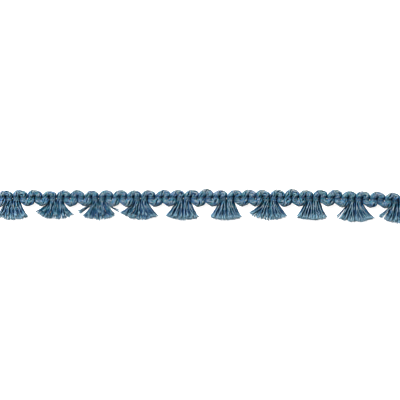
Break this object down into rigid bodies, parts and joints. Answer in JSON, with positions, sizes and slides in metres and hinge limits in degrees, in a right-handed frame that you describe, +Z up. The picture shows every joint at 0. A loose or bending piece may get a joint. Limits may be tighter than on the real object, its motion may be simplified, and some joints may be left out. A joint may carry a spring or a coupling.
{
  "type": "tassel fringe trim",
  "caption": "Cut length of scroll gimp trim: a twisted yarn cord winds between binding threads and ends in small fanned cut tassels along one edge.",
  "frame": {"origin": "middle of the underside, on the surface that the trim lies on", "axes": "+X along the trim, +Y towards its scalloped edge, away from the tassels, +Z up out of its face"},
  "size_m": [0.2918, 0.0224, 0.0039],
  "materials": {
    "weft_yarn": "soft matt twisted yarn, denim blue",
    "binding_thread": "fine matt thread, denim blue"
  },
  "bodies": {
    "root": {"weft_left_end": "weft_yarn", "weft_1": "weft_yarn", "weft_2": "weft_yarn", "weft_3": "weft_yarn", "weft_4": "weft_yarn", "weft_5": "weft_yarn", "weft_6": "weft_yarn", "weft_7": "weft_yarn", "weft_8": "weft_yarn", "weft_9": "weft_yarn", "weft_right_end": "weft_yarn", "binding_thread_top": "binding_thread", "binding_thread_middle": "binding_thread", "binding_thread_bottom": "binding_thread"}
  },
  "joints": []
}
